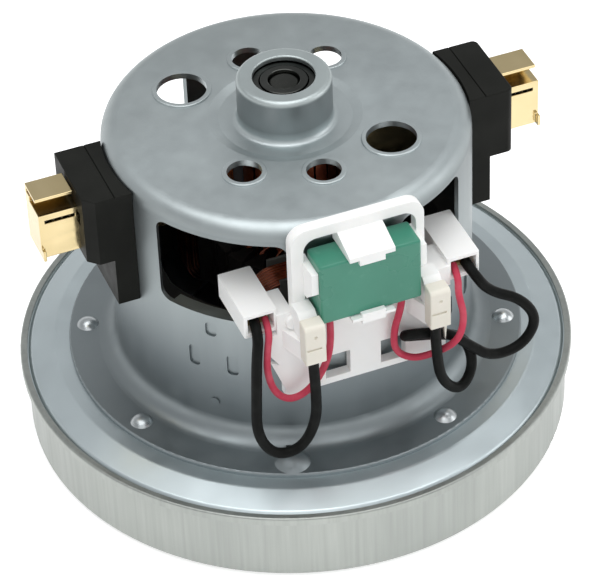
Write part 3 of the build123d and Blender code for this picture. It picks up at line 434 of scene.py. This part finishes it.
def moulded(name, clean, worn, shine, pebble, glow=0, gleam=0.5):
    finish = new_finish(name)
    tone = in_range(finish, cloud(finish, plastic_tone_scale, detail=4), (0.35, 0.7))
    set_colour(finish, blend_colours(finish, tone, clean, worn))
    set_roughness(finish, cloud(finish, plastic_gloss_scale, detail=4), shine)
    add_bump(finish, cloud(finish, pebble_scale), pebble, strength=0.6)
    shader = shader_of(finish)
    shader.inputs["Specular IOR Level"].default_value = gleam
    shader.inputs["Subsurface Weight"].default_value = glow
    shader.inputs["Subsurface Radius"].default_value = light_depth_by_colour
    shader.inputs["Subsurface Scale"].default_value = light_depth
    return finish


black_plastic = moulded("black_plastic", clean=(0.010, 0.0105, 0.009), worn=(0.015, 0.0155, 0.0135),
                        shine=(0.42, 0.55), pebble=0.02 * mm, gleam=0.08)
insulator_black = moulded("insulator_black", clean=(0.08, 0.083, 0.076), worn=(0.12, 0.124, 0.115),
                          shine=(0.5, 0.65), pebble=0.02 * mm)
white_plastic = moulded("white_plastic", clean=(0.95, 0.95, 0.935), worn=(0.91, 0.91, 0.895),
                        shine=(0.36, 0.5), pebble=0.012 * mm, glow=0.15)
cream_plastic = moulded("cream_plastic", clean=(0.80, 0.765, 0.68), worn=(0.75, 0.71, 0.62),
                        shine=(0.34, 0.46), pebble=0.012 * mm, glow=0.15)
grey_plastic = moulded("grey_plastic", clean=(0.05, 0.052, 0.055), worn=(0.075, 0.078, 0.08),
                       shine=(0.4, 0.55), pebble=0.03 * mm)
hub_plastic = moulded("hub_plastic", clean=(0.060, 0.026, 0.014), worn=(0.09, 0.045, 0.025),
                      shine=(0.35, 0.5), pebble=0.02 * mm)
carbon = moulded("carbon", clean=(0.028, 0.028, 0.030), worn=(0.05, 0.05, 0.052),
                 shine=(0.45, 0.62), pebble=0.05 * mm)
print("plastics are ready")

# %% [markdown]
# ## The capacitor's coating
# The capacitor is dipped, so its green skin is glossy, thicker at some places than at others, and lighter
# where the coating ran thin. One even green would look printed. Two noises of different size over it give
# the thick and the thin, and a slow bump gives the skin its waves.

# %% The capacitor's coating
thick_scale = 55
thin_scale = 420
green_gloss_scale = 90
wave_scale = 260
wave_relief = 0.05 * mm
deep_green = (0.035, 0.205, 0.135)
full_green = (0.05, 0.245, 0.165)
thin_green = (0.12, 0.34, 0.25)


def dipped_green():
    finish = new_finish("green_coating")
    thick = in_range(finish, cloud(finish, thick_scale), (0.35, 0.68))
    colour = blend_colours(finish, thick, deep_green, full_green)
    thin = in_range(finish, cloud(finish, thin_scale, detail=5), (0.62, 0.8), (0, 0.3))
    set_colour(finish, blend_colours(finish, thin, colour, thin_green))
    set_roughness(finish, cloud(finish, green_gloss_scale), (0.24, 0.38))
    add_bump(finish, cloud(finish, wave_scale, detail=4), wave_relief, strength=0.5)
    return finish


green_coating = dipped_green()
print("capacitor finish is ready")

# %% [markdown]
# ## Wire covers
# The covers are soft and matt, with a faint relief from the die and some dust. Dust lies in patches, so a
# noise mask blends a dusty colour over the clean one, which keeps the wires from looking like paint.

# %% Wire covers
dust_scale = 260
cover_gloss_scale = 500
die_scale = 900
die_relief = 0.03 * mm
cover_gleam = 0.08


def wire_cover(name, clean, dusty):
    finish = new_finish(name)
    shader_of(finish).inputs["Specular IOR Level"].default_value = cover_gleam
    dust = in_range(finish, cloud(finish, dust_scale, detail=5), (0.48, 0.85))
    set_colour(finish, blend_colours(finish, dust, clean, dusty))
    set_roughness(finish, cloud(finish, cover_gloss_scale), (0.40, 0.55))
    add_bump(finish, cloud(finish, die_scale, detail=4), die_relief, strength=0.5)
    return finish


black_rubber = wire_cover("black_rubber", clean=(0.005, 0.0055, 0.005), dusty=(0.013, 0.014, 0.013))
red_rubber = wire_cover("red_rubber", clean=(0.52, 0.055, 0.095), dusty=(0.60, 0.12, 0.16))
print("wire covers are ready")

# %% [markdown]
# ## Give every node its finish
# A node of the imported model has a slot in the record, named after its material. Nodes could be dressed one
# by one, but looking the slot up in one table dresses them all, and a slot that was forgotten stops the
# script with its name. The coil insulation shares the black plastic's slot, and gets its dustier black last.

# %% Dress the nodes
finishes = dict(
    case_steel=case_steel, plate_steel=plate_steel, bracket_steel=bracket_steel, rivet_steel=rivet_steel,
    bearing_steel=bearing_steel, shaft_steel=shaft_steel, spring_steel=spring_steel,
    fan_aluminium=fan_aluminium, lamination_steel=lamination_steel, copper=copper, brass=brass,
    black_plastic=black_plastic, white_plastic=white_plastic, cream_plastic=cream_plastic,
    grey_plastic=grey_plastic, hub_plastic=hub_plastic, carbon=carbon, green_coating=green_coating,
    black_rubber=black_rubber, red_rubber=red_rubber)
slot_of = {part["node"]: part["material_slot"] for part in frame["record"]["subparts"]}


def cover(piece, finish):
    piece.data.materials.clear()
    piece.data.materials.append(finish)


for name, node in nodes.items():
    cover(node, finishes[slot_of[name]])
for side in ("front", "rear"):
    cover(nodes["coil_insulator_" + side], insulator_black)
print("dressed", len(nodes), "nodes with", len(finishes) + 1, "finishes")

# %% [markdown]
# ## Pieces of the scene's own
# A piece that is made here takes the place of one of the imported model's nodes. It rides on the body given,
# takes the finish of the slot given, and the node it stands for is hidden, so that it moves like that node.

# %% Hand a piece over


def finish_piece(piece, body, slot, replaced):
    cover(piece, finishes[slot])
    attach(piece, body)
    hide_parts(replaced)


print("own pieces replace the nodes they stand for")

# %% [markdown]
# ## Wires
# Four wires leave the carrier's two blocks. The black ones end in the tab housings and the red ones under
# the capacitor. They could be meshes swept by hand, but a curve with a round bevel keeps one smooth line that
# can still be bent. Each is a NURBS line of order three, whose control points are the places that the wire
# passes. The order and the end points are set after the points exist, because a spline without points can't
# take them.

# %% The wires' routes
route_black_left = [
    (-0.0277, -0.0466, 0.0703), (-0.0283, -0.0512, 0.0693), (-0.0296, -0.0524, 0.0626),
    (-0.0307, -0.0540, 0.0524), (-0.0317, -0.0554, 0.0414), (-0.0276, -0.0562, 0.0337),
    (-0.0206, -0.0570, 0.0342), (-0.0166, -0.0575, 0.0424), (-0.0165, -0.0576, 0.0529),
    (-0.0170, -0.0576, 0.0632)]
route_red_left = [
    (-0.0249, -0.0466, 0.0700), (-0.0253, -0.0508, 0.0690), (-0.0266, -0.0521, 0.0646),
    (-0.0271, -0.0523, 0.0578), (-0.0254, -0.0524, 0.0506), (-0.0212, -0.0524, 0.0466),
    (-0.0159, -0.0524, 0.0484), (-0.0114, -0.0524, 0.0552), (-0.0099, -0.0524, 0.0636),
    (-0.0104, -0.0524, 0.0716)]
route_red_right = [
    (0.0251, -0.0466, 0.0700), (0.0246, -0.0509, 0.0690), (0.0237, -0.0526, 0.0656),
    (0.0240, -0.0560, 0.0608), (0.0212, -0.0587, 0.0560), (0.0168, -0.0546, 0.0504),
    (0.0116, -0.0519, 0.0480), (0.0068, -0.0516, 0.0522), (0.0068, -0.0518, 0.0594),
    (0.0086, -0.0522, 0.0658), (0.0092, -0.0524, 0.0716)]
route_black_right = [
    (0.0281, -0.0466, 0.0702), (0.0286, -0.0510, 0.0692), (0.0324, -0.0519, 0.0628),
    (0.0403, -0.0536, 0.0592), (0.0444, -0.0550, 0.0522), (0.0402, -0.0554, 0.0452),
    (0.0316, -0.0555, 0.0444), (0.0256, -0.0551, 0.0502), (0.0196, -0.0550, 0.0566),
    (0.0093, -0.0550, 0.0593), (0.0093, -0.05095, 0.0554), (0.0192, -0.05095, 0.0529),
    (0.0259, -0.0518, 0.0503), (0.0273, -0.0544, 0.0426), (0.0226, -0.0568, 0.0374),
    (0.0170, -0.0577, 0.0432), (0.0155, -0.0578, 0.0526), (0.0152, -0.0578, 0.0632)]
for route in (route_black_left, route_red_left, route_red_right, route_black_right):
    print("places passed", len(route))

# %% The wires
thick_wire = 2.7 * mm
thin_wire = 1.8 * mm
wire_order = 3
wire_steps = 14
wire_sides = 5


def make_wire(name, route, diameter, length, slot, node_name):
    curve = bpy.data.curves.new(name, "CURVE")
    curve.dimensions = "3D"
    spline = curve.splines.new("NURBS")
    spline.points.add(len(route) - 1)
    for point, place in zip(spline.points, route):
        point.co = (*place, 1)
    spline.order_u = wire_order
    spline.use_endpoint_u = True
    spline.resolution_u = wire_steps
    curve.bevel_depth = diameter / 2
    curve.bevel_resolution = wire_sides
    curve.use_fill_caps = True
    piece = bpy.data.objects.new(name, curve)
    bpy.context.collection.objects.link(piece)
    finish_piece(piece, "stator", slot, node_name)
    print(node_name, "points", len(spline.points), "length", round(length / mm, 1), "mm")


make_wire("lead_black_left", route_black_left, thick_wire, 76.8 * mm, "black_rubber", "wire_black_left")
make_wire("lead_red_left", route_red_left, thin_wire, 58.0 * mm, "red_rubber", "wire_red_left")
make_wire("lead_red_right", route_red_right, thin_wire, 59.1 * mm, "red_rubber", "wire_red_right")
make_wire("lead_black_right", route_black_right, thick_wire, 132.8 * mm, "black_rubber", "wire_black_right")

# %% [markdown]
# ## Curves that become meshes
# Coils and springs are long bent wires. Screw modifiers or hand-made rings could give them, but a bevelled
# curve follows any line, and it is turned into a mesh afterwards.

# %% Helper for wound pieces
smooth_order = 4
smooth_steps = 4


def bent_wire(name, lines, thickness, sides=2, closed=False, kind="POLY"):
    curve = bpy.data.curves.new(name, "CURVE")
    curve.dimensions = "3D"
    for line in lines:
        spline = curve.splines.new(kind)
        spline.points.add(len(line) - 1)
        for point, place in zip(spline.points, line):
            point.co = (*place, 1)
        if kind == "NURBS":
            spline.order_u = smooth_order
            spline.resolution_u = smooth_steps
            spline.use_endpoint_u = not closed
        spline.use_cyclic_u = closed
    curve.bevel_depth = thickness / 2
    curve.bevel_resolution = sides
    curve.use_fill_caps = True
    return mesh_of(name, curve)


def mesh_of(name, curve):
    source = bpy.data.objects.new(name + "_line", curve)
    bpy.context.collection.objects.link(source)
    bpy.context.view_layer.update()
    mesh = bpy.data.meshes.new_from_object(source.evaluated_get(bpy.context.evaluated_depsgraph_get()))
    mesh.name = name
    bpy.data.objects.remove(source)
    for polygon in mesh.polygons:
        polygon.use_smooth = True
    piece = bpy.data.objects.new(name, mesh)
    bpy.context.collection.objects.link(piece)
    return piece


print("a line becomes a round wire")

# %% [markdown]
# ## Field coils
# Each pole carries a coil of enamelled wire, wound in rectangular loops over its black former. Stacked rings
# would show as rings. So the coil is built as the winder lays it: a loop, a step sideways, the next loop, and
# at the end of a layer a step out and back again. Small random shifts, from a fixed seed, keep the strands
# from looking like a machined part.

# %% One loop of a field coil
coil_wire = 0.85 * mm
coil_step = 0.92 * mm
coil_layers = 6
coil_corner = 2.4 * mm
coil_corner_steps = 5
coil_shift = 0.03 * mm
coil_advance_share = 0.9
advance_power = 4
random.seed(7)


def rounded_loop(half_x, half_z, corner, middle, y_start, y_stop):
    arms = [(half_x - corner, half_z - corner, 90), (half_x - corner, corner - half_z, 0),
            (corner - half_x, corner - half_z, -90), (corner - half_x, half_z - corner, -180)]
    points = []
    for centre_x, centre_z, start in arms:
        for i in range(coil_corner_steps + 1):
            angle = math.radians(start - 90 * i / coil_corner_steps)
            points.append((centre_x + corner * math.cos(angle), centre_z + corner * math.sin(angle)))
    shift = random.uniform(-coil_shift, coil_shift)
    line = []
    for i, (x, z) in enumerate(points):
        share = i / (len(points) - 1)
        line.append((x + shift, y_start + (y_stop - y_start) * share ** advance_power, middle + z + shift))
    return line


print("points in a loop", 4 * (coil_corner_steps + 1))

# %% Field coils


def coil_line(node_name):
    low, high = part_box(node_name)
    middle = (low.z + high.z) / 2
    outer_x = high.x - coil_wire / 2
    outer_z = (high.z - low.z) / 2 - coil_wire / 2
    front = low.y + coil_wire / 2
    turns = int((high.y - low.y - coil_wire) / coil_step) + 1
    line = []
    for layer in range(coil_layers):
        inset = (coil_layers - 1 - layer) * coil_step
        order = range(turns) if layer % 2 == 0 else reversed(range(turns))
        step = coil_step if layer % 2 == 0 else -coil_step
        for turn in order:
            y_start = front + turn * coil_step
            y_stop = y_start + step * coil_advance_share
            corner = coil_corner + layer * coil_step
            line += rounded_loop(outer_x - inset, outer_z - inset, corner, middle, y_start, y_stop)
    print(node_name, "loops", coil_layers * turns, "points", len(line))
    return line


for side in ("front", "rear"):
    node_name = "field_coil_" + side
    coil = bent_wire("winding_" + side, [coil_line(node_name)], coil_wire)
    finish_piece(coil, "stator", "copper", node_name)

# %% [markdown]
# ## Armature winding
# Each armature coil goes up one slot, across the end of the core, down a slot nearly half way round and back
# under the core. A solid ring would hide that. Drawn as closed smooth curves, one for each strand, they cross
# over each other at both ends as the real ones do. Only their ends show, between the core and the commutator.

# %% One armature strand
slot_count = 22
coil_span = 9
strand = 0.62 * mm
strands_per_coil = 4
strand_shift = 0.10
outer_row = 17.4 * mm
inner_row = 14.0 * mm
row_step = 0.7 * mm
top_crossing = 10.2 * mm
top_crossing_spread = 3.6 * mm
low_crossing = 15.2 * mm
low_crossing_spread = 2.0 * mm
first_height_share = 0.35
height_spread_share = 0.6
crossing_shares = (0.12, 0.32, 0.5, 0.68, 0.88)
bend_power = 4


def polar(radius, turn, z):
    angle = 2 * math.pi * turn / slot_count
    return (radius * math.cos(angle), radius * math.sin(angle), z)


def armature_strand(index, number, core_low, core_high, low, high):
    start = index + strand_shift * (number % 2 - 0.5)
    stop = start + coil_span
    outer = outer_row - row_step * number
    inner = inner_row - row_step * number
    layer = index % (slot_count // 2) / (slot_count // 2)
    height_share = first_height_share + height_spread_share * layer
    top_z = core_high + (high - core_high - strand) * height_share
    low_z = core_low - (core_low - low - strand) * height_share
    top = top_crossing + top_crossing_spread * layer
    bottom = low_crossing + low_crossing_spread * layer
    up = [polar(outer, start, core_low), polar(outer, start, core_high)]
    down = [polar(inner, stop, core_high), polar(inner, stop, core_low)]
    over = [polar(top + (outer - top) * (2 * share - 1) ** bend_power, start + coil_span * share, top_z)
            for share in crossing_shares]
    under = [polar(bottom, start + coil_span * share, low_z) for share in reversed(crossing_shares)]
    return up + over + down + under


print("a strand spans", coil_span, "of", slot_count, "slots")

# %% Armature winding


def armature_lines():
    core_low, core_high = (corner.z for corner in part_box("armature_core"))
    low, high = (corner.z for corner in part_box("armature_windings"))
    return [armature_strand(index, number, core_low, core_high, low, high)
            for index in range(slot_count) for number in range(strands_per_coil)]


armature_winding = bent_wire("armature_strands", armature_lines(), strand, sides=1, closed=True, kind="NURBS")
finish_piece(armature_winding, "rotor", "copper", "armature_windings")
print("armature strands", slot_count * strands_per_coil, "faces", len(armature_winding.data.polygons))

# %% [markdown]
# ## Brush springs
# Behind each carbon brush a spring presses it on to the commutator. It is a true helix with a closed turn at
# each end, so it is drawn as a line that turns and moves on.

# %% The line of a spring
spring_wire = 0.7 * mm
spring_radius = 2.9 * mm
spring_turns = 9
closed_turns = 2
spring_steps = 20


def spring_line(node_name):
    low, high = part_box(node_name)
    centre_z = (low.z + high.z) / 2
    start, stop = low.x + spring_wire / 2, high.x - spring_wire / 2
    free = stop - start - closed_turns * spring_wire
    points = []
    for i in range((spring_turns + closed_turns) * spring_steps + 1):
        turn = i / spring_steps
        open_turns = min(max(turn - 1, 0), spring_turns)
        ends = min(turn, 1) + max(turn - 1 - spring_turns, 0)
        x = start + ends * spring_wire + free * open_turns / spring_turns
        angle = 2 * math.pi * turn
        points.append((x, spring_radius * math.cos(angle), centre_z + spring_radius * math.sin(angle)))
    return points


print("turns", spring_turns, "and", closed_turns, "closed ones")


def make_spring(side):
    node_name = "brush_spring_" + side
    spring = bent_wire("coil_spring_" + side, [spring_line(node_name)], spring_wire)
    finish_piece(spring, "stator", "spring_steel", node_name)
    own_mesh(spring)


for side in ("left", "right"):
    make_spring(side)

# %% [markdown]
# ## Soft edges
# Moulded, folded and turned pieces never have knife edges. A bevel of a few tenths of a millimetre catches a
# thin line of light, which is what makes a small part look real. It could be cut into the mesh, but a
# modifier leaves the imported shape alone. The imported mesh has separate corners, so a weld comes first, then
# flat faces are joined, then the bevel runs on the edges that are left.

# %% Soft edges
weld_distance = 0.002 * mm
flat_within = math.radians(0.5)
sharp_beyond = math.radians(40)
bevel_steps = 2
edge_widths = {
    "terminal_carrier": 0.22 * mm, "tab_housing_left": 0.2 * mm, "tab_housing_right": 0.2 * mm,
    "brush_holder_left": 0.25 * mm, "brush_holder_right": 0.25 * mm, "brush_tube_left": 0.15 * mm,
    "brush_tube_right": 0.15 * mm, "shaft": 0.35 * mm, "top_bearing_inner_ring": 0.3 * mm,
    "top_bearing_outer_ring": 0.2 * mm}


def soften(node, width):
    weld = node.modifiers.new("weld", "WELD")
    weld.merge_threshold = weld_distance
    flat = node.modifiers.new("flat_faces", "DECIMATE")
    flat.decimate_type = "DISSOLVE"
    flat.angle_limit = flat_within
    bevel = node.modifiers.new("soft_edges", "BEVEL")
    bevel.width = width
    bevel.segments = bevel_steps
    bevel.limit_method = "ANGLE"
    bevel.angle_limit = sharp_beyond
    bevel.harden_normals = False


for node_name, width in edge_widths.items():
    soften(nodes[node_name], width)
    print("softened", node_name, round(width / mm, 2), "mm")

# %% [markdown]
# ## Floor
# The floor is plain and nearly white, and keeps the soft shadow. More light would make it whiter and burn
# out the carrier as well. So it has a little glow that only the camera, gloss and clear pieces see: it takes
# the paper to white in the picture and in the metal's reflections, but adds no soft light to the part.

# %% Floor
floor_size = 4.0
floor_drop = 0.05 * mm
paper_colour = (0.84, 0.84, 0.84, 1)
paper_roughness = 0.9
paper_gleam = 0.1
paper_glow = 0.55


def larger(tree, first, second):
    node = tree.nodes.new("ShaderNodeMath")
    node.operation = "MAXIMUM"
    tree.links.new(first, node.inputs[0])
    tree.links.new(second, node.inputs[1])
    return node.outputs["Value"]


def seen_by_eye(tree, strength):
    path = tree.nodes.new("ShaderNodeLightPath")
    direct = larger(tree, path.outputs["Is Camera Ray"], path.outputs["Is Glossy Ray"])
    times = tree.nodes.new("ShaderNodeMath")
    times.operation = "MULTIPLY"
    times.inputs[1].default_value = strength
    tree.links.new(larger(tree, direct, path.outputs["Is Transmission Ray"]), times.inputs[0])
    return times.outputs["Value"]


def floor_paper():
    paper = bpy.data.materials.new("floor_paper")
    paper.use_nodes = True
    tree = paper.node_tree
    shader = tree.nodes["Principled BSDF"]
    shader.inputs["Base Color"].default_value = paper_colour
    shader.inputs["Roughness"].default_value = paper_roughness
    shader.inputs["Specular IOR Level"].default_value = paper_gleam
    shader.inputs["Emission Color"].default_value = (1, 1, 1, 1)
    tree.links.new(seen_by_eye(tree, paper_glow), shader.inputs["Emission Strength"])
    return paper


def make_floor():
    mesh = bpy.data.meshes.new("floor")
    half = floor_size / 2
    corners = [(-half, -half, 0), (half, -half, 0), (half, half, 0), (-half, half, 0)]
    mesh.from_pydata(corners, [], [(0, 1, 2, 3)])
    mesh.materials.append(floor_paper())
    floor = bpy.data.objects.new("floor", mesh)
    floor.location.z = -floor_drop
    bpy.context.collection.objects.link(floor)


make_floor()
print("floor", floor_size, "m")

# %% [markdown]
# ## World
# Steel shows what is round it, so a plain white world would leave it flat. A studio picture could light it
# from an image, but a short ramp does: the world is white near the horizon and dims upwards, as a studio with
# a pale backdrop does, and the steel shows both.

# %% World
white_up_to = 0.12
dim_from = 0.50
dim_colour = (0.50, 0.51, 0.52, 1)
world_strength = 0.98


def make_world():
    world = bpy.data.worlds.new("studio")
    bpy.context.scene.world = world
    world.use_nodes = True
    tree = world.node_tree
    background = tree.nodes["Background"]
    place = tree.nodes.new("ShaderNodeTexCoord")
    split = tree.nodes.new("ShaderNodeSeparateXYZ")
    ramp = tree.nodes.new("ShaderNodeValToRGB")
    horizon, top = ramp.color_ramp.elements
    horizon.position = white_up_to
    horizon.color = (1, 1, 1, 1)
    top.position = dim_from
    top.color = dim_colour
    tree.links.new(place.outputs["Generated"], split.inputs["Vector"])
    tree.links.new(split.outputs["Z"], ramp.inputs["Fac"])
    tree.links.new(ramp.outputs["Color"], background.inputs["Color"])
    background.inputs["Strength"].default_value = world_strength
    return world


print("world", make_world().name)

# %% [markdown]
# ## Lamps
# Small lamps give hard spots on pressed steel. So three large area lamps, in front, at the right and above,
# add plain, soft light to the world's: the front one models the wall, the side one opens the shadows, and
# the top one lights the carrier's upper faces.

# %% Lamps
lamp_target = Vector((0, 0, 0.05))


def make_lamp(name, place, size, power):
    data = bpy.data.lights.new(name, "AREA")
    data.shape = "RECTANGLE"
    data.size, data.size_y = size
    data.energy = power
    lamp = bpy.data.objects.new(name, data)
    lamp.location = place
    lamp.rotation_euler = (lamp_target - Vector(place)).to_track_quat("-Z", "Y").to_euler()
    bpy.context.collection.objects.link(lamp)
    print(name, power, "W")


make_lamp("key_lamp", place=(-0.25, -0.60, 0.75), size=(0.9, 0.6), power=1.1)
make_lamp("fill_lamp", place=(0.75, -0.35, 0.45), size=(0.5, 0.5), power=1.2)
make_lamp("top_lamp", place=(0.0, -0.05, 1.1), size=(1.2, 0.9), power=6.5)

# %% [markdown]
# ## Finish
# The view transform is Standard, so that a colour renders as it is written.

# %% The view transform
bpy.context.scene.view_settings.view_transform = "Standard"
bpy.context.view_layer.update()
